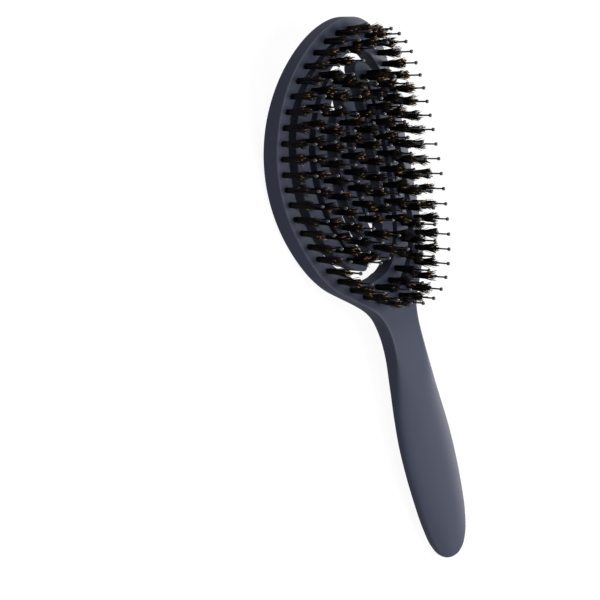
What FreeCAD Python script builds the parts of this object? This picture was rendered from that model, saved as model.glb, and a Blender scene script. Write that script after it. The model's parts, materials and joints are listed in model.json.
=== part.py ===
import FreeCAD, Part
import os
from math import atan2, cos, degrees, radians, sin, sqrt
from FreeCAD import Placement, Rotation, Vector

# Boar bristle brush with an open, spring-armed head, drawn in the moulding frame:
# X across, Y towards the head's top, Z along the bristles, origin at the head's centre.
# At the end every piece is laid on its back, so that it rests on z = 0.
os.makedirs("parts", exist_ok=True)
doc = FreeCAD.newDocument("spring_head_brush")
sheet = doc.addObject("Spreadsheet::Sheet", "sizes")

# Lengths in mm, angles in degrees, counts and shares plain.
SIZES = {
    "head_half_width": 38.85, "head_half_length": 64.3, "head_centre_shift": -1.15,
    "tail_length": 176.8, "length_curve_radius": 177.0, "width_curve_radius": 143.0,
    "rim_thickness": 7.4, "arm_thickness": 6.6, "cut_margin": 6.0,
    "flex_line_offset": 1.5, "flex_gap": 0.3,
    "grip_half_width": 14.5, "grip_thickness": 12.2,
    "hole_radius": 1.32, "hole_depth": 5.2,
    "tuft_root_radius": 1.05, "tuft_waist_radius": 1.25, "tuft_tip_radius": 1.95,
    "tuft_waist_height": 7.4, "tuft_height": 12.6,
    "pin_radius": 0.33, "pin_height": 20.3, "pin_clearance": 0.05, "ball_radius": 0.82,
    "staple_length": 1.9, "staple_thickness": 0.35, "staple_height": 0.8,
    "rim_side_inset": 4.0, "rim_end_inset": 6.5, "stub_tuft_offset": 7.0,
    "arc_tolerance": 0.08, "tuft_sides": 6, "pin_sides": 4, "rim_tufts_per_side": 23,
    "outer_leg_tufts": 15, "middle_leg_tufts": 11, "inner_leg_tufts": 10,
}
for row, (alias, value) in enumerate(SIZES.items(), start=1):
    sheet.set("A%d" % row, alias)
    sheet.set("B%d" % row, str(value))
    sheet.setAlias("B%d" % row, alias)
doc.recompute()


def size(alias):
    """Value of one named cell of the sheet."""
    return sheet.get(alias)


half_width, half_length = size("head_half_width"), size("head_half_length")
flex_edge = size("flex_line_offset")
half_gap = size("flex_gap") / 2


def bind(obj, **cells):
    """Tie properties of a document object to sheet cells or formulas of them."""
    for name, formula in cells.items():
        obj.setExpression(name, formula)
    return obj


def head_points(shares):
    """Outline points from shares of the head's half width and half length."""
    return [Vector(half_width * across, half_length * along) for across, along in shares]


def turned(points):
    """The same points half a turn on about the head's centre."""
    return [Vector(-p.x, -p.y) for p in points]


def curve_through(points):
    """One smooth curve through the points."""
    curve = Part.BSplineCurve()
    curve.interpolate(points)
    return curve


def smooth(points):
    """Edges of the arcs, each tangent to the next, that follow that curve."""
    arcs = curve_through(points).toBiArcs(size("arc_tolerance"))
    return [arc.toShape() for arc in arcs]


def straight(first, last):
    return Part.LineSegment(first, last).toShape()


def prism(label, edges):
    """Closed outline drawn as a face and pulled through the whole head along Z."""
    outline = doc.addObject("Part::Feature", label + "_outline")
    outline.Shape = Part.Face(Part.Wire(edges))
    body = doc.addObject("Part::Extrusion", label + "_prism")
    body.Base, body.Dir, body.Solid, body.Symmetric = outline, Vector(0, 0, 1), True, True
    return bind(body, LengthFwd="sizes.length_curve_radius / 2")


# Saddle shell: hollow along the length, arched across the width, the same thickness
# all over. Its section, two arcs with one centre, turns about an axis across the head.
axis_height = size("length_curve_radius")
tube_radius = size("width_curve_radius")
tube_centre = axis_height + tube_radius
SHELL_REACH_SHARE = 1.4


def face_height(x, y):
    """Height of the bristle face: Z = Ra - sqrt((Ra + Rw - sqrt(Rw^2 - x^2))^2 - y^2)."""
    reach = tube_centre - sqrt(tube_radius ** 2 - x ** 2)
    return axis_height - sqrt(reach ** 2 - y ** 2)


def shell(label, thickness):
    """Patch of the saddle, a margin larger than the head, as a turned section."""
    across = half_width + size("cut_margin")
    low = Vector(0, 0, -tube_radius)

    def arc(radius):
        height = sqrt(radius ** 2 - across ** 2)
        ends = [low + Vector(side * across, 0, height) for side in (-1, 1)]
        return ends, Part.Arc(ends[0], low + Vector(0, 0, radius), ends[1]).toShape()

    (face_left, face_right), face_arc = arc(tube_radius)
    (back_left, back_right), back_arc = arc(tube_radius - thickness)
    section = doc.addObject("Part::Feature", label + "_section")
    section.Shape = Part.Face(Part.Wire([
        face_arc, straight(face_right, back_right), back_arc, straight(back_left, face_left)]))
    patch = doc.addObject("Part::Revolution", label)
    patch.Source, patch.Axis, patch.Solid, patch.Symmetric = section, Vector(1, 0, 0), True, True
    patch.Base = Vector(0, 0, axis_height)
    patch.Angle = 2 * degrees(atan2(half_length * SHELL_REACH_SHARE, axis_height))
    return patch


rim_shell = shell("rim_shell", size("rim_thickness"))
arm_shell = shell("arm_shell", size("arm_thickness"))

# Outline of the head: an ellipse down to the shoulders, then the hollow neck curve
# that runs in under the grip.
SHOULDER_SHARES = [
    (0.8650, -0.5180), (0.7950, -0.6205), (0.6975, -0.7140), (0.5770, -0.7885),
    (0.4400, -0.8655), (0.3700, -0.9060), (0.3090, -0.9460), (0.2550, -0.9850)]
shoulder = head_points(SHOULDER_SHARES)
mid_y = size("head_centre_shift")
oval_points = []
start_sin = (shoulder[0].y - mid_y) / half_length
start_angle = degrees(atan2(start_sin, sqrt(1 - start_sin ** 2)))
OVAL_STEPS = 24
for step in range(OVAL_STEPS + 1):
    angle = radians(start_angle + (180 - 2 * start_angle) * step / OVAL_STEPS)
    oval_points.append(Vector(half_width * cos(angle), mid_y + half_length * sin(angle)))
shoulder[0] = oval_points[0]
left_shoulder = [Vector(-p.x, p.y) for p in shoulder]
head_edge = smooth(list(reversed(shoulder))[:-1] + oval_points + left_shoulder[1:])
head_prism = prism("head", head_edge + [straight(left_shoulder[-1], shoulder[-1])])

# Opening inside the rim: one curved side from the lower flexure round to the upper one,
# and the same side half a turn on. Each flexure line closes it with a straight step.
ROOT_LOW_SHARE, ROOT_HIGH_SHARE, SLOT_LOW_SHARE = -0.8400, -0.7325, -0.8590
RIM_SIDE_SHARES = [
    (0.0770, -0.8490), (0.2010, -0.8260), (0.3060, -0.7850), (0.3910, -0.7465),
    (0.4660, -0.7060), (0.5790, -0.6270), (0.6560, -0.5460), (0.7130, -0.4665),
    (0.7540, -0.3870), (0.8000, -0.2270), (0.8185, 0.0), (0.8160, 0.0920),
    (0.7850, 0.2520), (0.7155, 0.4105), (0.6665, 0.4900), (0.5945, 0.5710),
    (0.4990, 0.6500), (0.4270, 0.6905), (0.3165, 0.7295), (0.1600, 0.7450)]
slot_low = Vector(-flex_edge - half_gap, half_length * SLOT_LOW_SHARE)
stub_high = Vector(flex_edge + half_gap, -half_length * ROOT_HIGH_SHARE)
rim_side = [slot_low] + head_points(RIM_SIDE_SHARES) + [stub_high]
other_side = turned(rim_side)
opening_prism = prism("opening", [
    *smooth(rim_side), straight(rim_side[-1], other_side[0]),
    *smooth(other_side), straight(other_side[-1], rim_side[0])])

# Spring arm: one narrow bar folded into an outer, a middle and an inner leg.
ARM_EDGE_SHARES = [
    (0.0850, -0.8200), (0.1960, -0.7855), (0.3655, -0.7060), (0.5560, -0.5460),
    (0.6565, -0.3870), (0.7080, -0.2270), (0.7230, -0.0450), (0.7180, 0.0920),
    (0.6770, 0.2910), (0.6000, 0.4510), (0.5300, 0.5305), (0.4145, 0.6095),
    (0.3200, 0.6500), (0.2370, 0.6640), (0.1950, 0.6420), (0.1930, 0.6095),
    (0.2265, 0.5305), (0.2600, 0.4510), (0.3040, 0.2910), (0.3330, 0.1320),
    (0.3370, 0.0120), (0.3245, -0.1480), (0.2700, -0.3070), (0.1740, -0.4665),
    (0.1370, -0.5060), (0.0900, -0.5340), (0.0440, -0.5060), (0.0260, -0.4665),
    (-0.0180, -0.3070), (-0.0465, -0.0685), (-0.0410, 0.0920), (-0.0145, 0.2910),
    (-0.0070, 0.3330), (-0.0250, 0.3660), (-0.0760, 0.3790), (-0.1230, 0.3660),
    (-0.1500, 0.3310), (-0.1800, 0.2115), (-0.2060, -0.0685), (-0.1930, -0.2270),
    (-0.1545, -0.3870), (-0.0840, -0.5460), (-0.0145, -0.6270), (0.0720, -0.6530),
    (0.1670, -0.6270), (0.2320, -0.5865), (0.3475, -0.4665), (0.4325, -0.3070),
    (0.4815, -0.1480), (0.4930, -0.0110), (0.4735, 0.2115), (0.4300, 0.3710),
    (0.3720, 0.4900), (0.3690, 0.5160), (0.3850, 0.5230), (0.4060, 0.5000),
    (0.4815, 0.3710), (0.5430, 0.2115), (0.5715, -0.0110), (0.5430, -0.2270),
    (0.4760, -0.3870), (0.3500, -0.5460), (0.2500, -0.6270), (0.1800, -0.6655),
    (0.0590, -0.7140)]
ARM_CENTRE_SHARES = [
    (0.0200, -0.7800), (0.1720, -0.7280), (0.3080, -0.6660), (0.4520, -0.5500),
    (0.5660, -0.3870), (0.6255, -0.2270), (0.6460, -0.0310), (0.6380, 0.1090),
    (0.5970, 0.2910), (0.5200, 0.4460), (0.4300, 0.5500), (0.3180, 0.5900),
    (0.2990, 0.4900), (0.3550, 0.3710), (0.3990, 0.2115), (0.4145, 0.0),
    (0.4015, -0.1480), (0.3500, -0.3070), (0.2600, -0.4665), (0.1800, -0.5600),
    (0.0700, -0.5980), (-0.0250, -0.5250), (-0.0800, -0.3870), (-0.1130, -0.2270),
    (-0.1260, -0.0685), (-0.1210, 0.0920), (-0.1055, 0.2115), (-0.0830, 0.3080)]
root_low = Vector(-flex_edge + half_gap, half_length * ROOT_LOW_SHARE)
root_high = Vector(-flex_edge + half_gap, half_length * ROOT_HIGH_SHARE)
lower_edge = [root_low] + head_points(ARM_EDGE_SHARES) + [root_high]
upper_edge = turned(lower_edge)
lower_prism = prism("lower_arm", smooth(lower_edge) + [straight(lower_edge[-1], lower_edge[0])])
upper_prism = prism("upper_arm", smooth(upper_edge) + [straight(upper_edge[-1], upper_edge[0])])

# Places of the tufts: evenly spaced along each arm's middle line and round the rim.
leg_counts = [int(size(name + "_leg_tufts")) for name in ("outer", "middle", "inner")]
arm_count = sum(leg_counts)
centre_line = curve_through(head_points(ARM_CENTRE_SHARES))
line_start, line_end = centre_line.FirstParameter, centre_line.LastParameter
line_length = centre_line.length(line_start, line_end)
lower_places = []
for index in range(arm_count):
    run = line_length * index / (arm_count - 1)
    spot = centre_line.value(centre_line.parameterAtDistance(run, line_start))
    lower_places.append((spot.x, spot.y))

rim_count = int(size("rim_tufts_per_side"))
ring_across, ring_along = half_width - size("rim_side_inset"), half_length - size("rim_end_inset")
ring = Part.Ellipse(Vector(0, ring_along), Vector(ring_across, 0), Vector())
ring_points = ring.toShape().discretize(Number=4 * rim_count + 1)
right_places = [(p.x, p.y) for p in ring_points[1:-1:2] if p.x > 0]
stub_tuft = Vector(size("stub_tuft_offset"), -half_length * (ROOT_LOW_SHARE + ROOT_HIGH_SHARE) / 2)

groups = {}
groups["right_rim"] = right_places + [(stub_tuft.x, stub_tuft.y)]
groups["left_rim"] = [(-x, -y) for x, y in groups["right_rim"]]
taken = 0
for leg, count in zip(("outer", "middle", "inner"), leg_counts):
    leg_places = lower_places[taken:taken + count]
    groups["lower_arm_%s_leg" % leg] = leg_places
    groups["upper_arm_%s_leg" % leg] = [(-x, -y) for x, y in leg_places]
    taken += count


# One of each small piece, drawn at the origin with the face at z = 0.
def stacked(label, sides, rings):
    """Flat-sided solid through regular polygons, each given as (radius, height)."""
    steps = [radians(360 * n / sides) for n in range(int(sides) + 1)]
    rows = [[Vector(radius * cos(a), radius * sin(a), height) for a in steps]
            for radius, height in rings]
    outlines = [rows[0], rows[-1]]
    for low, high in zip(rows, rows[1:]):
        for n in range(int(sides)):
            outlines.append([low[n], low[n + 1], high[n + 1], high[n], low[n]])
    body = doc.addObject("Part::Feature", label)
    body.Shape = Part.Solid(Part.Shell([Part.Face(Part.makePolygon(o)) for o in outlines]))
    return body


seat = size("staple_height") - size("hole_depth")
hole = bind(doc.addObject("Part::Prism", "tuft_hole"), Polygon="sizes.tuft_sides",
            Circumradius="sizes.hole_radius", Height="sizes.hole_depth + sizes.cut_margin")
hole.setExpression("Placement.Base.z", "-sizes.hole_depth")
bundle = stacked("bundle", size("tuft_sides"), [
    (size("tuft_root_radius"), seat), (size("tuft_waist_radius"), size("tuft_waist_height")),
    (size("tuft_tip_radius"), size("tuft_height"))])
bore = bind(doc.addObject("Part::Prism", "pin_bore"), Polygon="sizes.pin_sides",
            Circumradius="sizes.pin_radius + sizes.pin_clearance",
            Height="sizes.tuft_height + sizes.hole_depth + sizes.cut_margin")
bore.setExpression("Placement.Base.z", "-sizes.hole_depth")
tuft = doc.addObject("Part::Cut", "tuft")
tuft.Base, tuft.Tool = bundle, bore
thin, ball, pin_top = size("pin_radius"), size("ball_radius"), size("pin_height")
pin = stacked("pin", size("pin_sides"), [
    (thin, seat), (thin, pin_top - 2 * ball), (ball, pin_top - ball), (thin, pin_top)])
staple = bind(doc.addObject("Part::Box", "staple"), Length="sizes.staple_length",
              Width="sizes.staple_thickness", Height="sizes.staple_height")
staple.setExpression("Placement.Base.x", "-sizes.staple_length / 2")
staple.setExpression("Placement.Base.y", "-sizes.staple_thickness / 2")
staple.setExpression("Placement.Base.z", "-sizes.hole_depth")
doc.recompute()


def repeated(unit, places, label):
    """Separate copies of a small piece, one at each place on the bristle face."""
    copies = []
    for x, y in places:
        copy = unit.Shape.copy()
        copy.translate(Vector(x, y, face_height(x, y)))
        copies.append(copy)
    group = doc.addObject("Part::Feature", label)
    group.Shape = Part.makeCompound(copies)
    return group


def drilled(label, solid, places):
    """A moulding with its tuft holes sunk into the bristle face."""
    result = doc.addObject("Part::Cut", label)
    result.Base, result.Tool = solid, repeated(hole, places, label + "_holes")
    return result


def common(label, first_solid, second_solid):
    result = doc.addObject("Part::Common", label)
    result.Base, result.Tool = first_solid, second_solid
    return result


# Handle: a smooth skin drawn by rings of poles square to Y, each (place along the tail,
# half width, thickness, middle height) as shares of the tail, the grip's half width and
# thickness. It starts inside the head plate, thickens behind it at the neck and flattens
# towards the end. A ring is swelled so that the skin, not its poles, has the ring's size.
HANDLE_SHARES = [
    (-0.2830, 0.759, 0.360, 0.287), (-0.3170, 0.869, 0.697, 0.402),
    (-0.3394, 0.869, 1.060, 0.440), (-0.3583, 0.755, 1.185, 0.458),
    (-0.3778, 0.659, 1.205, 0.498), (-0.4163, 0.588, 1.135, 0.583),
    (-0.4548, 0.604, 1.020, 0.650), (-0.5320, 0.749, 0.858, 0.694),
    (-0.6097, 0.927, 0.848, 0.764), (-0.7070, 0.999, 0.859, 0.837),
    (-0.7840, 0.986, 0.873, 0.899), (-0.8614, 0.892, 0.882, 0.961),
    (-0.9384, 0.730, 0.838, 0.999), (-0.9774, 0.570, 0.700, 1.015),
    (-0.9970, 0.360, 0.440, 1.020), (-1.0000, 0.120, 0.160, 1.020)]
RING_POLES = 8
RING_SWELL = 3 / (2 + cos(radians(360 / RING_POLES)))
tail, grip_half, grip_thick = [size(n) for n in ("tail_length", "grip_half_width", "grip_thickness")]
net = []
for pole in range(RING_POLES):
    right = RING_SWELL * cos(radians(360 * pole / RING_POLES))
    rise = RING_SWELL * sin(radians(360 * pole / RING_POLES)) / 2
    net.append([Vector(grip_half * across * right, tail * along, grip_thick * (high + thick * rise))
                for along, across, thick, high in HANDLE_SHARES])
SKIN_DEGREE = 3
end_mult = SKIN_DEGREE + 1
inner_knots = len(HANDLE_SHARES) - end_mult
skin = Part.BSplineSurface()
skin.buildFromPolesMultsKnots(
    net, [1] * (RING_POLES + 1), [end_mult] + [1] * inner_knots + [end_mult],
    list(range(RING_POLES + 1)), list(range(inner_knots + 2)), True, False, SKIN_DEGREE, SKIN_DEGREE)
ends = [Part.Face(Part.Wire(skin.vIso(knot).toShape())) for knot in (0, inner_knots + 1)]
round_handle = doc.addObject("Part::Feature", "round_handle")
round_handle.Shape = Part.Solid(Part.Shell([skin.toShape()] + ends))

# Front of the neck, level with the head's face: a curve (place, height) in the YZ plane,
# below which the oval neck is kept. It rises clear of the grip further down.
FRONT_SHARES = [
    (-0.2200, 0.370), (-0.3170, 0.740), (-0.3394, 0.818), (-0.3620, 0.882),
    (-0.3960, 0.970), (-0.4525, 1.053), (-0.5370, 1.115), (-0.6300, 1.230)]
FRONT_TOP_SHARE = 2.0
front = [Vector(0, tail * along, grip_thick * high) for along, high in FRONT_SHARES]
above = [Vector(0, p.y, grip_thick * FRONT_TOP_SHARE) for p in (front[-1], front[0])]
front_outline = doc.addObject("Part::Feature", "front_outline")
front_outline.Shape = Part.Face(Part.Wire([
    *smooth(front), straight(front[-1], above[0]), straight(above[0], above[1]),
    straight(above[1], front[0])]))
front_block = doc.addObject("Part::Extrusion", "front_block")
front_block.Base, front_block.Dir = front_outline, Vector(1, 0, 0)
front_block.Solid, front_block.Symmetric = True, True
bind(front_block, LengthFwd="sizes.head_half_width * 2")
handle = doc.addObject("Part::Cut", "handle")
handle.Base, handle.Tool = round_handle, front_block

plate = common("plate", rim_shell, head_prism)
blank = doc.addObject("Part::Fuse", "blank")
blank.Base, blank.Tool = plate, handle
moulding = doc.addObject("Part::Cut", "moulding")
moulding.Base, moulding.Tool = blank, opening_prism
nodes = [
    drilled("brush_frame", moulding, groups["left_rim"] + groups["right_rim"]),
    drilled("lower_spring_arm", common("lower_bar", arm_shell, lower_prism), lower_places),
    drilled("upper_spring_arm", common("upper_bar", arm_shell, upper_prism),
            [(-x, -y) for x, y in lower_places])]
for place_name, places in groups.items():
    nodes.append(repeated(tuft, places, place_name + "_boar_tufts"))
    nodes.append(repeated(pin, places, place_name + "_ball_pins"))
    nodes.append(repeated(staple, places, place_name + "_staples"))
doc.recompute()

# Laid on its back: the line under the rim and the handle's end becomes level.
corners = [Vector(p) for p in nodes[0].Shape.tessellate(size("flex_gap"))[0]]
behind = [p for p in corners if p.y < -half_length]
ahead = [p for p in corners if p.y > -half_length / 2]
under_head = min(ahead, key=lambda p: p.z)
LEVEL_TRIES = 4
for attempt in range(LEVEL_TRIES):
    under_end = min(behind, key=lambda p: (p.z - under_head.z) / (under_head.y - p.y))
    slope = (under_end.z - under_head.z) / (under_head.y - under_end.y)
    under_head = min(ahead, key=lambda p: p.z + slope * p.y)
turn = Rotation(Vector(1, 0, 0), degrees(atan2(slope, 1)))
lowest = turn.multVec(under_head).z
flat = [turn.multVec(p).y for p in corners]
lay_down = Placement(Vector(0, -(max(flat) + min(flat)) / 2, -lowest), turn)
for node in nodes:
    node.Placement = lay_down
doc.recompute()

for item in doc.Objects:
    if "Invalid" in item.State or "Error" in item.State:
        raise RuntimeError("%s did not rebuild: %s" % (item.Label, item.State))
for node in nodes:
    if not node.Shape.isValid():
        raise RuntimeError("%s is not a valid shape" % node.Label)
    node.Shape.exportStep("parts/%s.step" % node.Label)

root_mid = Vector(0, half_length * (ROOT_LOW_SHARE + ROOT_HIGH_SHARE) / 2)
root_mid.z = face_height(0, root_mid.y) - size("arm_thickness") / 2
print("tilt", degrees(atan2(slope, 1)), "tufts", sum(len(p) for p in groups.values()))
print("lower flexure", lay_down.multVec(root_mid))
print("upper flexure", lay_down.multVec(Vector(0, -root_mid.y, root_mid.z)))
print("head centre", lay_down.multVec(Vector()), "spring pitch", line_length / (arm_count - 1))
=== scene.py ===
import json
import bpy
import numpy as np
from math import radians
from mathutils import Matrix, Vector
from mathutils.geometry import delaunay_2d_cdt


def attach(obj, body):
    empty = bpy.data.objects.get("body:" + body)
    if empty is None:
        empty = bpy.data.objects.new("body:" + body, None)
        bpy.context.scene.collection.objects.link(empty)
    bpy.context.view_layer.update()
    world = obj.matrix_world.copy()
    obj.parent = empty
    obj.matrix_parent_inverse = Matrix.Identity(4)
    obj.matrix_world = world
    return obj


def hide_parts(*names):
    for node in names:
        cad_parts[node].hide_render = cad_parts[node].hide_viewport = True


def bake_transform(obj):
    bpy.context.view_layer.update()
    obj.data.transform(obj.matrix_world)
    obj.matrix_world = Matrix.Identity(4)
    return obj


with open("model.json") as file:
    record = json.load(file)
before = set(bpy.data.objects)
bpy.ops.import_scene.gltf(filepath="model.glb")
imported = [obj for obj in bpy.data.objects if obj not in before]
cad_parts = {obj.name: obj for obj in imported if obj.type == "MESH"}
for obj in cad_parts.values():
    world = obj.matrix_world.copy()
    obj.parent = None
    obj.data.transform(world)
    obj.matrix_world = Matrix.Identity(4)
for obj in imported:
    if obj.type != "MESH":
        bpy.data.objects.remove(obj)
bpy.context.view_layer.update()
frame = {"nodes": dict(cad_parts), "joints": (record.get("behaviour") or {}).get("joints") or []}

# Brush frame: rim, shoulders, flat-faced neck and oval grip in one injection moulding of
# slate-coloured nylon with a soft matt skin. The head is hollow along its length and
# arched across it, its front edge is crisp, and its back edge is well rounded.
MM = 0.001
HOLLOW_RADIUS, ARCH_RADIUS = 177 * MM, 143 * MM
RIM_THICKNESS, ARM_THICKNESS = 7.4 * MM, 6.6 * MM
HEAD_HALF_WIDTH, HEAD_HALF_LENGTH, HEAD_SHIFT = 38.85 * MM, 64.3 * MM, -1.15 * MM
# Outline: an oval down to the shoulder's angle, in degrees, then points in mm.
CROWN_ANGLE, SHOULDER_ANGLE, OVAL_POINTS = 90, -30, 41
SHOULDER = [(30.9, -39.9), (27.1, -45.9), (22.4, -50.7), (17.1, -55.65), (14.4, -58.3)]
# Neck and grip, in mm: place along the brush, half width, front, widest level and back.
GRIP = [
    (-61.2, 12.0, 10.2, 4.8, -1.0), (-64.2, 10.4, 10.8, 5.2, -1.1), (-68.2, 9.25, 11.6, 5.9, -0.7),
    (-73.6, 8.65, 12.3, 6.8, 0.3), (-80.4, 8.9, 12.9, 7.6, 1.4), (-94.0, 11.0, 13.7, 8.6, 2.8),
    (-107.8, 13.2, 14.4, 9.4, 4.0), (-122.0, 14.4, 15.2, 10.1, 4.7), (-132.0, 14.4, 15.9, 10.7, 5.2),
    (-146.0, 13.6, 16.8, 11.5, 6.0), (-160.0, 11.8, 17.5, 12.1, 6.8), (-168.5, 9.5, 17.2, 12.3, 7.5),
    (-173.6, 6.6, 16.2, 12.4, 8.7), (-176.2, 3.3, 14.6, 12.4, 10.4), (-176.8, 0.0, 12.6, 12.4, 12.2)]
NECK_START, NECK_END, NECK_LEVEL = 47 * MM, 66 * MM, 2.6 * MM
CREASE_FADE, CREASE_END = 74 * MM, 112 * MM
# Powers of the half-ovals, where 2 is an oval and a high one is almost a box: the front's is
# 1 / (neck + gain towards the grip), and the back's is the grip's + gain towards the neck.
NECK_FRONT, GRIP_FRONT_GAIN = 0.04, 0.37
GRIP_BACK_POWER, NECK_BACK_GAIN = 2.2, 5
# Edges: the rim's wall leans in at the sides, and the slots and the back are rounded.
SIDE_LEAN, END_LEAN, LEAN_START, LEAN_END = 1.3 * MM, 0.2 * MM, 20 * MM, 52 * MM
WALL_HEIGHT, FRONT_SOFTNESS, BACK_ROUND = 5.9 * MM, 0.4 * MM, 1.3 * MM
SLOT_FRONT_ROUND, SLOT_BACK_ROUND = 0.2 * MM, 0.25 * MM
# Front and back stay this far apart at the seam, and the grip's end this wide.
SEAM_HEIGHT, LEAST_WIDTH = 0.04 * MM, 0.01 * MM
# The painted highlight along the crease reaches this far down from the face, and to either side.
HIGHLIGHT_DEPTH, HIGHLIGHT_WIDTH = 0.35 * MM, 0.6 * MM

# The mould's own axes: across, along and out of the bristle face, from the two roots.
roots = {joint["child"]: np.array(joint["pos_m"]) for joint in frame["joints"]}
reach = roots["upper_arm"] - roots["lower_arm"]
along_axis = reach / np.linalg.norm(reach)
across_axis = np.array([1.0, 0.0, 0.0])
mould_axes = np.array([across_axis, along_axis, np.cross(across_axis, along_axis)])
root_along = np.linalg.norm(reach) / 2


def face_height(x, y, depth=0.0):
    """Height of the saddle, a depth below its face: an arc of radius Rw across the head, turned
    about a crosswise axis at a radius Ra:
    Ra - sqrt((Ra + Rw - sqrt((Rw - depth)^2 - x^2))^2 - y^2)."""
    arch = np.sqrt((ARCH_RADIUS - depth) ** 2 - x ** 2)
    return HOLLOW_RADIUS - np.sqrt((HOLLOW_RADIUS + ARCH_RADIUS - arch) ** 2 - y ** 2)


root_height = face_height(0.0, root_along) - ARM_THICKNESS / 2
crown = (roots["upper_arm"] + roots["lower_arm"]) / 2 - root_height * mould_axes[2]


def to_mould(points):
    """Row-frame points along the mould's axes, from the crown of the bristle face."""
    return (points - crown) @ mould_axes.T


def to_row(points):
    """Points on the mould's axes back in the row frame."""
    return points @ mould_axes + crown


def node_points(node):
    """Corners of a CAD node's mesh, on the mould's axes."""
    vertices = frame["nodes"][node].data.vertices
    corners = np.empty(3 * len(vertices))
    vertices.foreach_get("co", corners)
    return to_mould(corners.reshape(-1, 3))


# Corners that agree to these digits are one, and the face's triangles point upwards by at
# least this share and lie this near to the saddle.
WELD_DIGITS, FACE_UPWARD, FACE_TOLERANCE, LEAST_AREA = 5, 0.85, 0.3 * MM, 1e-15


def face_lines(node):
    """Closed edge lines of a moulding's bristle face, in plan: the edges that have a face
    triangle on one side only, joined head to tail, with the moulding on their left."""
    points, place = np.unique(np.round(node_points(node), WELD_DIGITS), axis=0, return_inverse=True)
    mesh = frame["nodes"][node].data
    mesh.calc_loop_triangles()
    triangles = np.empty(3 * len(mesh.loop_triangles), int)
    mesh.loop_triangles.foreach_get("vertices", triangles)
    triangles = place.ravel()[triangles].reshape(-1, 3)
    a, b, c = points[triangles].transpose(1, 0, 2)
    upward = np.cross(b - a, c - a)
    upward = upward[:, 2] / np.maximum(np.linalg.norm(upward, axis=1), LEAST_AREA)
    middle = (a + b + c) / 3
    level = np.abs(middle[:, 2] - face_height(middle[:, 0], middle[:, 1])) < FACE_TOLERANCE
    edges = triangles[(upward > FACE_UPWARD) & level][:, [[0, 1], [1, 2], [2, 0]]].reshape(-1, 2)
    forward = edges[:, 0] * len(points) + edges[:, 1]
    backward = edges[:, 1] * len(points) + edges[:, 0]
    following = dict(edges[~np.isin(forward, backward)].tolist())
    lines = []
    while following:
        first, point = following.popitem()
        line = [first]
        while point != first and point in following:
            line.append(point)
            point = following.pop(point)
        lines.append(points[line, :2])
    return lines


def spaced(line, step):
    """Points at an even step along the smooth line through the given points: a cubic
    between neighbours, whose slopes are those of the parabolas through three points."""
    gaps = np.linalg.norm(np.diff(line, axis=0), axis=1)
    run = np.concatenate([[0], np.cumsum(gaps)])
    chord = np.diff(line, axis=0) / gaps[:, None]
    slope = np.concatenate([chord[:1], chord])
    before, after = gaps[:-1, None], gaps[1:, None]
    slope[1:-1] = (before * chord[1:] + after * chord[:-1]) / (before + after)
    at = np.linspace(0, run[-1], max(2, int(round(run[-1] / step)) + 1))
    k = np.clip(np.searchsorted(run, at, side="right") - 1, 0, len(gaps) - 1)
    t, h = ((at - run[k]) / gaps[k])[:, None], gaps[k][:, None]
    return ((1 + 2 * t) * (1 - t) ** 2 * line[k] + t * (1 - t) ** 2 * h * slope[k]
            + t ** 2 * (3 - 2 * t) * line[k + 1] - t ** 2 * (1 - t) * h * slope[k + 1])


EDGE_STEP, CORNER_ANGLE, STRAIGHT_TOLERANCE = 0.8 * MM, radians(50), 0.05 * MM


def edge_loop(line, root_lines):
    """A closed edge line, spaced evenly between its sharp corners, and which of its points
    lie on a root line, where frame and arm are one in the real moulding."""
    ahead = np.roll(line, -1, 0) - line
    behind = np.roll(ahead, 1, 0)
    turn = np.abs(np.arctan2(behind[:, 0] * ahead[:, 1] - behind[:, 1] * ahead[:, 0],
                             (behind * ahead).sum(1)))
    corners = np.flatnonzero(turn > CORNER_ANGLE)
    line, corners = np.roll(line, -corners[0], 0), corners - corners[0]
    line = np.concatenate([line, line[:1]])
    runs, on_root = [], []
    for first, last in zip(corners, [*corners[1:], len(line) - 1]):
        run = spaced(line[first:last + 1], EDGE_STEP)[:-1]
        straight = np.abs(run[:, 0] - run[0, 0]).max() < STRAIGHT_TOLERANCE
        runs.append(run)
        on_root.append(np.full(len(run), straight))
    loop, on_root = np.concatenate(runs), np.concatenate(on_root)
    joined = on_root | np.roll(on_root, 1)
    nearest = np.abs(loop[:, :1] - root_lines).argmin(1)
    loop[joined, 0] = root_lines[nearest[joined]]
    return loop, joined


# Points compared with an edge line at one time, which keeps the arrays small.
BATCH = 500


def inside(points, loops):
    """Whether points lie in the moulding's plan: an odd number of edges to their right."""
    odd = np.zeros(len(points), bool)
    for loop in loops:
        low, high = loop, np.roll(loop, -1, 0)
        for part in np.array_split(np.arange(len(points)), len(points) // BATCH + 1):
            x, y = points[part, :1], points[part, 1:]
            crossed = (low[:, 1] > y) != (high[:, 1] > y)
            rise = np.where(high[:, 1] == low[:, 1], 1, high[:, 1] - low[:, 1])
            meets = low[:, 0] + (y - low[:, 1]) / rise * (high[:, 0] - low[:, 0])
            odd[part] ^= (crossed & (x < meets)).sum(1) % 2 == 1
    return odd


def distance(points, line):
    """Distance of each point from the nearest point of an edge line."""
    parts = np.array_split(points, len(points) // BATCH + 1)
    return np.concatenate([np.sqrt(((p[:, None] - line) ** 2).sum(2).min(1)) for p in parts])


def rounded(gap, radius):
    """Drop of a rounded edge at a distance from it, as a quarter circle:
    r - sqrt(r^2 - (r - gap)^2)."""
    short = np.clip(1 - gap / radius, 0, 1)
    return radius * (1 - np.sqrt(1 - short ** 2))


def leaning(gap, lean):
    """Drop of the rim's leaning wall at a distance from the outline: a straight slope of
    a = height * (1 - gap / lean), eased into the face as (a + sqrt(a^2 + softness^2)) / 2."""
    slope = WALL_HEIGHT * (1 - gap / lean)
    return (slope + np.sqrt(slope ** 2 + FRONT_SOFTNESS ** 2)) / 2


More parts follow.
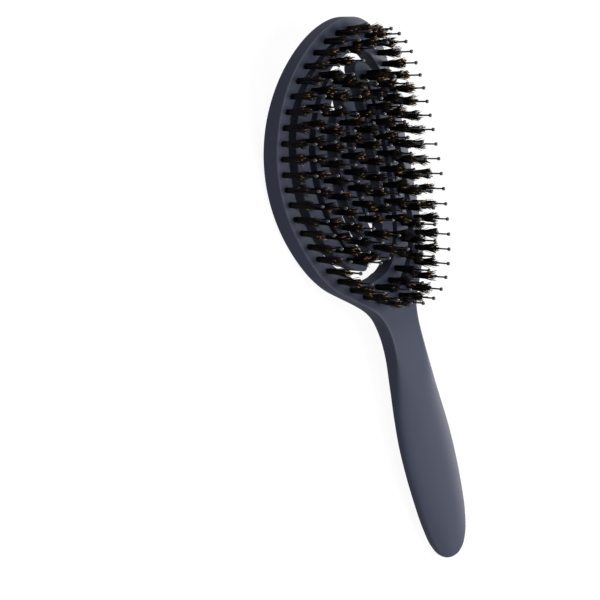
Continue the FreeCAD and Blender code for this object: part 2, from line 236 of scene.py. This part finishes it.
def eased(value, start, end):
    """0 before start, 1 after end, and 3t^2 - 2t^3 between."""
    t = np.clip((value - start) / (end - start), 0, 1)
    return t * t * (3 - 2 * t)


# Rows of points beside an edge, by their distance from it. They lie closest where the
# wall's lean ends, and past THIN_FROM they keep every second point.
EDGE_ROWS = np.array([0.03, 0.12, 0.3, 0.6, 0.9, 1.1, 1.2, 1.3, 1.4, 1.5, 1.8, 2.4, 3.5, 5.0]) * MM
THIN_FROM, ROW_CLEARANCE = 2.5 * MM, 0.93
FIELD_STEP, FIELD_ROW_SHARE, FIELD_CLEARANCE = 2.2 * MM, 0.866, 0.6
MERGE_DISTANCE = 1e-9


def plan_net(loops, fixed, stretches):
    """Plan of a moulding as points and triangles: its edge loops, rows of points beside
    them that crowd towards the edge, stretched or drawn in there, and an even field between."""
    edge = np.concatenate(loops)
    net = [edge]
    for loop, joined, stretch in zip(loops, fixed, stretches):
        tangent = np.roll(loop, -1, 0) - np.roll(loop, 1, 0)
        normal = np.stack([-tangent[:, 1], tangent[:, 0]], 1)
        normal /= np.linalg.norm(normal, axis=1)[:, None]
        for offset in EDGE_ROWS:
            away = (offset * stretch)[~joined]
            row = loop[~joined] + away[:, None] * normal[~joined]
            if offset > THIN_FROM:
                row, away = row[::2], away[::2]
            keep = inside(row, loops) & (distance(row, edge) > ROW_CLEARANCE * away)
            net.append(row[keep])
    low, high = edge.min(0), edge.max(0)
    across, along = np.meshgrid(np.arange(low[0], high[0], FIELD_STEP),
                                np.arange(low[1], high[1], FIELD_STEP * FIELD_ROW_SHARE))
    across = across + (np.arange(len(across)) % 2)[:, None] * FIELD_STEP / 2
    field = np.stack([across.ravel(), along.ravel()], 1)
    field = field[inside(field, loops)]
    rows = np.concatenate(net)
    net.append(field[distance(field, rows) > FIELD_CLEARANCE * FIELD_STEP])
    points = np.concatenate(net)
    starts = np.cumsum([0] + [len(loop) for loop in loops[:-1]])
    rims = [np.arange(len(loop)) + start for loop, start in zip(loops, starts)]
    edges = np.concatenate([np.stack([rim, np.roll(rim, -1)], 1) for rim in rims])
    made = delaunay_2d_cdt(points.tolist(), edges.tolist(), [], 0, MERGE_DISTANCE)
    if len(made[0]) != len(points):
        raise RuntimeError("two points of the plan fell together")
    triangles = np.array(made[2])
    return points, triangles[inside(points[triangles].mean(1), loops)], rims


def mesh_piece(name, points, faces, sharp_angle=None):
    """A mesh object at the origin from row-frame points and faces, smoothly shaded except
    where faces meet at more than the sharp angle, in degrees."""
    mesh = bpy.data.meshes.new(name)
    mesh.from_pydata(points.tolist(), [], faces)
    mesh.polygons.foreach_set("use_smooth", np.ones(len(mesh.polygons), bool))
    if sharp_angle:
        mesh.set_sharp_from_angle(angle=radians(sharp_angle))
    mesh.update()
    piece = bpy.data.objects.new(name, mesh)
    bpy.context.scene.collection.objects.link(piece)
    return piece


def keep_values(piece, label, values):
    """Stores one number for each point of a piece, for its material to read."""
    attribute = piece.data.attributes.new(label, "FLOAT", "POINT")
    attribute.data.foreach_set("value", values.astype(np.float32))


MOULDING_SHARP_ANGLE = 55


def moulding(name, points, triangles, rims, front, back):
    """Closed skin over a plan: the front height over every point, the back height under it,
    and a wall along each edge loop from the one to the other."""
    count = len(points)
    skin = np.concatenate([np.column_stack([points, front]), np.column_stack([points, back])])
    walls = np.concatenate([np.stack([rim, rim + count, np.roll(rim, -1) + count, np.roll(rim, -1)], 1)
                            for rim in rims])
    under = triangles[:, ::-1] + count
    faces = [*triangles.tolist(), *under.tolist(), *walls.tolist()]
    return mesh_piece(name, to_row(skin), faces, MOULDING_SHARP_ANGLE)


# A Mix node's sockets for colours, by number, since their names repeat.
MIX_SHARE, MIX_FIRST, MIX_SECOND, MIX_RESULT = 0, 6, 7, 2


class Socket:
    """One output of a shader node. Arithmetic on it adds Math nodes."""

    def __init__(self, tree, socket):
        self.tree, self.socket = tree, socket

    def node(self, kind, settings, inputs, output=0):
        """Another node of the same tree: its type, its settings, its sockets' values or links."""
        made = self.tree.nodes.new(kind)
        for key, value in settings.items():
            setattr(made, key, value)
        for key, value in inputs.items():
            if isinstance(value, Socket):
                self.tree.links.new(value.socket, made.inputs[key])
            else:
                made.inputs[key].default_value = value
        return Socket(self.tree, made.outputs[output])

    def math(self, operation, first, second):
        """One Math node on two values."""
        return self.node("ShaderNodeMath", {"operation": operation}, {0: first, 1: second})

    def __add__(self, other):
        return self.math("ADD", self, other)

    def __sub__(self, other):
        return self.math("SUBTRACT", self, other)

    def __rsub__(self, other):
        return self.math("SUBTRACT", other, self)

    def __mul__(self, other):
        return self.math("MULTIPLY", self, other)

    def __pow__(self, other):
        return self.math("POWER", self, other)

    def __gt__(self, other):
        return self.math("GREATER_THAN", self, other)

    __radd__, __rmul__ = __add__, __mul__

    def noise(self, scale, detail):
        """Soft noise, 0 to 1, at this place: cells per metre, and its finer layers."""
        return self.node("ShaderNodeTexNoise", {}, {"Vector": self, "Scale": scale, "Detail": detail})

    def stored(self, label):
        """A number kept in the mesh, one for each point."""
        return self.node("ShaderNodeAttribute", {"attribute_name": label}, {}, "Fac")

    def mixed(self, first, second):
        """Colour between two others, with this value as the share of the second."""
        return self.node("ShaderNodeMix", {"data_type": "RGBA", "clamp_factor": True},
                         {MIX_SHARE: self, MIX_FIRST: first, MIX_SECOND: second}, MIX_RESULT)

    def bump(self, strength, depth):
        """Normal of a surface with this value as its relief."""
        return self.node("ShaderNodeBump", {}, {"Strength": strength, "Distance": depth, "Height": self})


def new_finish(name, **constants):
    """A material with the given constant sockets, its shader, and Object coordinates."""
    material = bpy.data.materials.new(name)
    material.use_nodes = True
    shader = material.node_tree.nodes["Principled BSDF"]
    for key, value in constants.items():
        shader.inputs[key.replace("_", " ")].default_value = value
    places = material.node_tree.nodes.new("ShaderNodeTexCoord")
    return material, shader, Socket(material.node_tree, places.outputs["Object"])


def feed(shader, **links):
    """Links values that are not the same everywhere to a shader's sockets."""
    for key, value in links.items():
        value.tree.links.new(value.socket, shader.inputs[key.replace("_", " ")])


# Matt slate skin: an even colour with faint clouding, a fine eroded grain and a low sheen,
# and a painted highlight that makes the crease of the rim and neck paler.
SLATE, SLATE_PALE = (0.046, 0.054, 0.090, 1), (0.054, 0.063, 0.104, 1)
# Paler slate for the painted highlight along the crease.
SLATE_PAINTED_HIGHLIGHT = (0.100, 0.110, 0.150, 1)
CLOUD_SCALE, CLOUD_DETAIL = 55.0, 3.0
GRAIN_SCALE, GRAIN_DETAIL, GRAIN_STRENGTH, GRAIN_DEPTH = 2600.0, 2.0, 0.25, 0.03 * MM
SKIN_ROUGHNESS, CLOUD_ROUGHNESS, GRAIN_ROUGHNESS = 0.46, 0.10, 0.06
slate, slate_shader, place = new_finish("matt_slate_skin", Specular_IOR_Level=0.3)
clouding = place.noise(CLOUD_SCALE, CLOUD_DETAIL)
grain = place.noise(GRAIN_SCALE, GRAIN_DETAIL)
# The base colour turns to the paler slate where the painted highlight lies along the crease.
feed(slate_shader, Base_Color=place.stored("painted_highlight").mixed(clouding.mixed(SLATE, SLATE_PALE), SLATE_PAINTED_HIGHLIGHT),
     Roughness=SKIN_ROUGHNESS + CLOUD_ROUGHNESS * clouding + GRAIN_ROUGHNESS * grain,
     Normal=grain.bump(GRAIN_STRENGTH, GRAIN_DEPTH))

# Plan of the frame: its outline, and the opening that the two arms lie in.
angles = np.radians(np.linspace(CROWN_ANGLE, SHOULDER_ANGLE, OVAL_POINTS))
oval = np.stack([HEAD_HALF_WIDTH * np.cos(angles), HEAD_SHIFT + HEAD_HALF_LENGTH * np.sin(angles)], 1)
grip = np.array(GRIP) * MM
right_side = np.concatenate([oval, np.array(SHOULDER) * MM, grip[:, [1, 0]]])
left_side = right_side[1:-1] * [-1, 1]
around = np.concatenate([right_side[::-1], left_side, right_side[-1:]])
outer_loop = spaced(around, EDGE_STEP)[:-1]
# Frame and arms meet on straight cuts at the roots, this far to either side of the middle.
ROOT_LINE = 1.5 * MM
root_lines = np.array([-ROOT_LINE, ROOT_LINE])
opening = min((line for line in face_lines("brush_frame") if np.ptp(line[:, 0]) > HEAD_HALF_WIDTH),
              key=lambda line: line[:, 1].max())
opening_loop, opening_joined = edge_loop(opening, root_lines)


def rim_lean(y):
    """How far the rim's wall leans in: most at the sides, hardly at all at the ends."""
    return SIDE_LEAN + (END_LEAN - SIDE_LEAN) * eased(np.abs(y), LEAN_START, LEAN_END)


# Rows beside the outline are drawn in where the wall leans less, but not along the neck.
stretch = rim_lean(outer_loop[:, 1]) / SIDE_LEAN
stretch = stretch + (1 - stretch) * eased(-outer_loop[:, 1], NECK_START, NECK_END)
plan, triangles, rims = plan_net([outer_loop, opening_loop],
                                 [np.zeros(len(outer_loop), bool), opening_joined],
                                 [stretch, np.ones(len(opening_loop))])
x, y = plan.T
outer_gap = distance(plan, outer_loop)
slot_gap = distance(plan, opening_loop[~opening_joined])
lean = rim_lean(y)
head_front = face_height(x, y) - leaning(outer_gap, lean) - rounded(slot_gap, SLOT_FRONT_ROUND)
head_back = (face_height(x, y, RIM_THICKNESS) + rounded(outer_gap, BACK_ROUND)
             + rounded(slot_gap, SLOT_BACK_ROUND))

# Neck and grip: at each place along them a front and a back half-oval meet at the widest
# level. The neck's front half-oval is almost a box, and the grip's is a soft one.
outline = spaced(right_side, EDGE_STEP)
half_width = np.maximum(np.interp(-y, -outline[:, 1], outline[:, 0]), LEAST_WIDTH)
neck_row = np.array([[-NECK_START, 0, face_height(0, NECK_START), NECK_LEVEL,
                      face_height(0, NECK_START, RIM_THICKNESS)]])
grip_rows = spaced(np.concatenate([neck_row, grip]), EDGE_STEP)
front_line, level, back_line = (np.interp(-y, -grip_rows[:, 0], line) for line in grip_rows[:, 2:].T)
share = np.clip(np.abs(x) / half_width, 0, 1)
neck = eased(-y, NECK_START, NECK_END)
soft = eased(-y, CREASE_FADE, CREASE_END)
front_power = 1 / (NECK_FRONT + GRIP_FRONT_GAIN * soft)
back_power = GRIP_BACK_POWER + NECK_BACK_GAIN * (1 - neck)
grip_front = level + (front_line - level) * (1 - share ** front_power) ** (1 / front_power)
grip_back = level - (level - back_line) * (1 - share ** back_power) ** (1 / back_power)
front = head_front + (grip_front - head_front) * neck
back = np.minimum(head_back + (grip_back - head_back) * neck, front - SEAM_HEIGHT)
frame_moulding = moulding("frame_moulding", plan, triangles, rims, front, back)
# Painted highlight: a paler band along the crease of the rim and the neck's front edge, fading out
# towards the grip.
drop = leaning(outer_gap, lean) * (1 - neck) + (front_line - grip_front) * neck
crease = np.exp(-((outer_gap - lean) / HIGHLIGHT_WIDTH) ** 2 - (drop / HIGHLIGHT_DEPTH) ** 2) * (1 - soft)
keep_values(frame_moulding, "painted_highlight", np.concatenate([crease, 0 * crease]))
frame_moulding.data.materials.append(slate)
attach(frame_moulding, "frame")
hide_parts("brush_frame")

# Spring arms: two bars of the same moulding, each folded into three legs and joined to the
# rim at one root only, so that they give when the brush is pressed on the head.
# From its root an arm thins over ROOT_BLEND; the two turn points are worked out, but nothing bends its
# mesh.
ROOT_BLEND = 15 * MM
ROOT_TURN_START, ROOT_TURN_END = np.array([-1.0, -49.0, 4.0]) * MM, np.array([6.5, -42.0, 4.0]) * MM
for side, half_turn in (("lower", 1), ("upper", -1)):
    line = max(face_lines(side + "_spring_arm"), key=len)
    loop, joined = edge_loop(line, root_lines)
    plan, triangles, rims = plan_net([loop], [joined], [np.ones(len(loop))])
    x, y = plan.T
    slot_gap = distance(plan, loop[~joined])
    root_gap = np.hypot(x + half_turn * ROOT_LINE, y + half_turn * root_along)
    thickness = RIM_THICKNESS + (ARM_THICKNESS - RIM_THICKNESS) * eased(root_gap, 0, ROOT_BLEND)
    front = face_height(x, y) - rounded(slot_gap, SLOT_FRONT_ROUND)
    back = face_height(x, y, thickness) + rounded(slot_gap, SLOT_BACK_ROUND)
    arm = moulding(side + "_arm_moulding", plan, triangles, rims, front, back)
    arm.data.materials.append(slate)
    turned = [half_turn, half_turn, 1]
    turn_start, turn_end = to_row(ROOT_TURN_START * turned), to_row(ROOT_TURN_END * turned)
    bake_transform(arm)
    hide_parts(side + "_spring_arm")

# Staples: short brass wires at the bottom of the holes, each holding a folded tuft. They
# are driven in and stay out of sight, so their CAD solids are kept.
BRASS, BRASS_DARK = (0.62, 0.42, 0.17, 1), (0.48, 0.31, 0.12, 1)
DRAWN_SCALE, DRAWN_DETAIL = 1800.0, 3.0
WIRE_ROUGHNESS, DRAWN_ROUGHNESS = 0.28, 0.2
brass, brass_shader, place = new_finish("drawn_brass_wire", Metallic=1.0)
drawn = place.noise(DRAWN_SCALE, DRAWN_DETAIL)
feed(brass_shader, Base_Color=drawn.mixed(BRASS, BRASS_DARK),
     Roughness=WIRE_ROUGHNESS + DRAWN_ROUGHNESS * drawn)
for name, node in frame["nodes"].items():
    if name.endswith("_staples"):
        node.data.materials.clear()
        node.data.materials.append(brass)

# Boar bristle tufts: natural bristles folded over a staple, tight and almost black where
# they leave the hole, then spreading to frayed ends, some of them amber.
STRANDS, STRAND_SIDES = 96, 3
TUFT_LENGTH, TUFT_ROOT, TUFT_SPREAD, SPREAD_POWER = 12.8 * MM, 1.15 * MM, 1.0 * MM, 2.6
STRAND_RADIUS, STRAND_TIP_RADIUS = 0.125 * MM, 0.12 * MM
STRAND_LEAN, TUFT_LEAN = 0.4 * MM, 0.35 * MM
# The share of short strands, and lengths as shares of the tuft's: a short strand's lies between
# the first and the second, and a full one's between the second and the third.
SHORT_STRANDS, SHORTEST, COMMON, LONGEST = 0.15, 0.5, 0.86, 1.03
BURIED = 1.0 * MM
GOLDEN_TURN = radians(137.508)
# Places of a strand's rings, as shares of its length.
RING_SHARES = np.array([0.0, 0.3, 0.6, 0.85, 1.0])
# Each tuft has a pin in its middle, so the tufts' places are the middles of the CAD pins:
# corners nearer to one another than PIN_REACH belong to one pin.
PIN_REACH = 2 * MM
places_of = {}
for name in frame["nodes"]:
    if name.endswith("_ball_pins"):
        spots = node_points(name)[:, :2]
        near = (np.linalg.norm(spots[:, None] - spots, axis=2) < PIN_REACH).astype(float)
        centres = near @ spots / near.sum(1)[:, None]
        group = name.removesuffix("_ball_pins")
        places_of[group] = np.unique(np.round(centres, WELD_DIGITS), axis=0)


def body_of(group):
    """The body that carries a group of tufts: the frame for a rim, or else the arm."""
    return "frame" if group.endswith("rim") else group[:len("lower_arm")]


def tube_faces(count, rings, sides):
    """Faces of tubes laid out ring after ring: quads between rings, and a cap at each end."""
    start = (np.arange(count) * rings * sides)[:, None, None]
    ring = (np.arange(rings - 1) * sides)[None, :, None]
    turn, following = np.arange(sides), (np.arange(sides) + 1) % sides
    low = start + ring
    quads = np.stack([low + turn, low + following, low + sides + following, low + sides + turn], 3)
    caps = np.concatenate([start[:, 0] + turn[::-1], start[:, 0] + (rings - 1) * sides + turn])
    return quads.reshape(-1, 4).tolist() + caps.tolist()


def bristle_tubes(places, seed):
    """Tapered strands of every tuft: strand k starts at radius root * sqrt((k + 1/2) / strands),
    a golden turn on from the last, and leans outwards by spread * share^power and at random,
    where share is the height as a part of the strand's length."""
    chance = np.random.default_rng(seed)
    shape = (len(places), STRANDS, 1)
    number = np.arange(STRANDS)[None, :, None] + 0.5
    bearing = number * GOLDEN_TURN + chance.uniform(0, 2 * np.pi, (len(places), 1, 1))
    out = np.sqrt(number / STRANDS)
    short = chance.uniform(0, 1, shape) < SHORT_STRANDS
    short_length = chance.uniform(SHORTEST, COMMON, shape)
    full_length = chance.uniform(COMMON, LONGEST, shape)
    length = TUFT_LENGTH * np.where(short, short_length, full_length)
    lean = chance.normal(0, STRAND_LEAN, (len(places), STRANDS, 1, 2))
    tuft_lean = chance.normal(0, TUFT_LEAN, (len(places), 1, 1, 2))
    share = np.broadcast_to(RING_SHARES, (len(places), STRANDS, len(RING_SHARES)))
    reach_out = out * (TUFT_ROOT + TUFT_SPREAD * share ** SPREAD_POWER)
    axis = np.stack([np.cos(bearing) * reach_out, np.sin(bearing) * reach_out], 3)
    axis = axis + (lean + tuft_lean) * share[..., None] ** 2 + places[:, None, None]
    foot = face_height(places[:, 0], places[:, 1])[:, None, None] - BURIED
    height = foot + share * (length + BURIED)
    radius = STRAND_RADIUS + (STRAND_TIP_RADIUS - STRAND_RADIUS) * share ** 2
    turn = 2 * np.pi * np.arange(STRAND_SIDES) / STRAND_SIDES + bearing[..., None]
    points = np.stack([axis[..., :1] + radius[..., None] * np.cos(turn),
                       axis[..., 1:] + radius[..., None] * np.sin(turn),
                       np.broadcast_to(height[..., None], height.shape + (STRAND_SIDES,))], 4)
    tint = np.broadcast_to(chance.uniform(0, 1, shape), share.shape)
    return points.reshape(-1, 3), share.repeat(STRAND_SIDES), tint.repeat(STRAND_SIDES)


# Bristle: black, a little browner towards the end. Strands whose tint is above DARK_STRANDS
# end in amber, the more so the nearer to the tip.
BRISTLE_ROOT, BRISTLE_DARK = (0.0045, 0.004, 0.004, 1), (0.008, 0.0055, 0.0045, 1)
BRISTLE_AMBER, AMBER_POWER, DARK_STRANDS = (1.0, 0.54, 0.18, 1), 14.0, 0.94
ROOT_ROUGHNESS, TIP_ROUGHNESS_GAIN = 0.42, 0.2
bristle, bristle_shader, place = new_finish("boar_bristle", Specular_IOR_Level=0.25)
along_strand = place.stored("share")
strand_tint = place.stored("tint")
brown = along_strand.mixed(BRISTLE_ROOT, BRISTLE_DARK)
tipped = (along_strand ** AMBER_POWER) * (strand_tint > DARK_STRANDS)
feed(bristle_shader, Base_Color=tipped.mixed(brown, BRISTLE_AMBER),
     Roughness=ROOT_ROUGHNESS + TIP_ROUGHNESS_GAIN * along_strand)
for seed, (group, places) in enumerate(places_of.items()):
    points, share, tint = bristle_tubes(places, seed)
    faces = tube_faces(len(places) * STRANDS, len(RING_SHARES), STRAND_SIDES)
    tufts = mesh_piece(group + "_bristles", to_row(points), faces)
    keep_values(tufts, "share", share)
    keep_values(tufts, "tint", tint)
    tufts.data.materials.append(bristle)
    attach(tufts, body_of(group))
    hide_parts(group + "_boar_tufts")

# Ball pins: stiff, glossy pins of black nylon, one set in the hole in the middle of each
# tuft, with a round ball moulded on the end that keeps it from scratching.
PIN_HEIGHT, PIN_RADIUS, BALL_RADIUS, PIN_SIDES = 20.3 * MM, 0.34 * MM, 0.83 * MM, 10
# The ball's rings lie between these angles, in degrees above its middle.
BALL_FROM, BALL_TO, BALL_RINGS = -64, 86, 7
PIN_SHARP_ANGLE = 60
turns = np.radians(np.linspace(BALL_FROM, BALL_TO, BALL_RINGS))
ball = np.stack([BALL_RADIUS * np.cos(turns), PIN_HEIGHT - BALL_RADIUS + BALL_RADIUS * np.sin(turns)], 1)
pin_profile = np.concatenate([[(PIN_RADIUS, -BURIED)], ball])


def pin_rings(places):
    """The pin's profile, (radius, height) from the face, turned about each tuft's middle."""
    turn = 2 * np.pi * np.arange(PIN_SIDES) / PIN_SIDES
    radius, height = pin_profile.T[:, None, :, None]
    foot = face_height(places[:, 0], places[:, 1])[:, None, None]
    points = np.stack(np.broadcast_arrays(places[:, :1, None] + radius * np.cos(turn),
                                          places[:, 1:, None] + radius * np.sin(turn),
                                          foot + height), 3)
    return points.reshape(-1, 3)


PIN_BLACK, PIN_GREY = (0.006, 0.006, 0.007, 1), (0.012, 0.012, 0.014, 1)
FLOW_SCALE, FLOW_DETAIL = 900.0, 2.0
PIN_ROUGHNESS, FLOW_ROUGHNESS = 0.04, 0.08
nylon, nylon_shader, place = new_finish("black_nylon", Specular_IOR_Level=0.8,
                                        Coat_Weight=0.5, Coat_Roughness=0.05)
flow = place.noise(FLOW_SCALE, FLOW_DETAIL)
feed(nylon_shader, Base_Color=flow.mixed(PIN_BLACK, PIN_GREY),
     Roughness=PIN_ROUGHNESS + FLOW_ROUGHNESS * flow)
for group, places in places_of.items():
    faces = tube_faces(len(places), len(pin_profile), PIN_SIDES)
    pins = mesh_piece(group + "_pins", to_row(pin_rings(places)), faces, PIN_SHARP_ANGLE)
    pins.data.materials.append(nylon)
    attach(pins, body_of(group))
    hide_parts(group + "_ball_pins")

# Studio: a white floor that keeps a faint shadow, a pale world, and six soft lamps. Floor
# and world are white to the camera and through clear pieces, and dimmer as light.
FLOOR_HALF = 2.0
FLOOR_WHITE, FLOOR_GLOSS = 0.92, 0.2
FLOOR_UNSEEN, FLOOR_SEEN = (0.25, 0.25, 0.25, 1), (0.15, 0.15, 0.15, 1)
WHITE = (1, 1, 1, 1)
WORLD_FILL, WORLD_GLOSS = 0.12, 0.08
corners = np.array([(-1, -1, 0), (1, -1, 0), (1, 1, 0), (-1, 1, 0)]) * FLOOR_HALF
floor = mesh_piece("floor", corners, [(0, 1, 2, 3)])


def ray_kinds(tree):
    """1 for rays from the camera or through a clear piece, and 1 for rays off a gloss."""
    rays = tree.nodes.new("ShaderNodeLightPath")
    camera_ray, glossy, through = (Socket(tree, rays.outputs["Is %s Ray" % kind])
                                   for kind in ("Camera", "Glossy", "Transmission"))
    return camera_ray.math("MAXIMUM", camera_ray, through), glossy


white_floor = bpy.data.materials.new("white_floor")
white_floor.use_nodes = True
tree = white_floor.node_tree
tree.nodes.clear()
floor_output = tree.nodes.new("ShaderNodeOutputMaterial")
seen, glossy = ray_kinds(tree)
glow = seen.node("ShaderNodeEmission", {},
                 {"Color": WHITE, "Strength": FLOOR_WHITE * seen + FLOOR_GLOSS * glossy})
matt = seen.node("ShaderNodeBsdfDiffuse", {}, {"Color": seen.mixed(FLOOR_UNSEEN, FLOOR_SEEN)})
both = seen.node("ShaderNodeAddShader", {}, {0: glow, 1: matt})
feed(floor_output, Surface=both)
floor.data.materials.append(white_floor)

world = bpy.data.worlds.new("pale_studio")
bpy.context.scene.world = world
world.use_nodes = True
sky = world.node_tree.nodes["Background"]
sky.inputs["Color"].default_value = WHITE
seen, glossy = ray_kinds(world.node_tree)
feed(sky, Strength=seen + WORLD_FILL * (1 - seen) + WORLD_GLOSS * glossy)

# Lamps: name, place from the brush's middle and width in metres, and power in watts.
BRUSH_MIDDLE = np.array([0.0, -40.0, 0.0]) * MM
LAMPS = [("key", (0.22, -0.13, 0.96), 0.4, 3.8), ("front", (0.45, -0.75, 0.50), 0.7, 1.8),
         ("right", (0.95, -0.25, 0.05), 0.5, 9.2), ("left", (-0.55, -0.80, 0.30), 0.6, 3.0),
         ("back", (0.0, 0.75, 0.6), 0.5, 2.7), ("spark", (-0.30, -0.15, 0.92), 0.2, 0.9)]
for name, offset, size, power in LAMPS:
    lamp = bpy.data.lights.new(name, "AREA")
    lamp.size, lamp.energy = size, power
    lamp_object = bpy.data.objects.new(name, lamp)
    lamp_object.location = to_row(BRUSH_MIDDLE) + np.array(offset)
    lamp_object.rotation_euler = (-Vector(offset)).to_track_quat("-Z", "Y").to_euler()
    bpy.context.scene.collection.objects.link(lamp_object)

# Camera: a long lens at the photograph's angle, given on the mould's axes.
CAMERA_PLACE, CAMERA_AIM = np.array([-549.5, 170.0, 611.1]) * MM, np.array([-27.4, -51.2, -19.7]) * MM
CAMERA_UP, LENS, SENSOR_WIDTH = np.array([0.3225, 0.9444, -0.0642]), 119.83, 36.0
camera = bpy.data.cameras.new("camera")
camera.lens, camera.sensor_width = LENS, SENSOR_WIDTH
camera_object = bpy.data.objects.new("camera", camera)
behind = CAMERA_PLACE - CAMERA_AIM
behind = behind / np.linalg.norm(behind)
right = np.cross(CAMERA_UP, behind)
right = right / np.linalg.norm(right)
turn = np.stack([right, np.cross(behind, right), behind]) @ mould_axes
camera_object.matrix_world = Matrix.Translation(to_row(CAMERA_PLACE)) @ Matrix(turn.T.tolist()).to_4x4()
bpy.context.scene.collection.objects.link(camera_object)
bpy.context.scene.camera = camera_object
bpy.context.scene.view_settings.view_transform = "Standard"
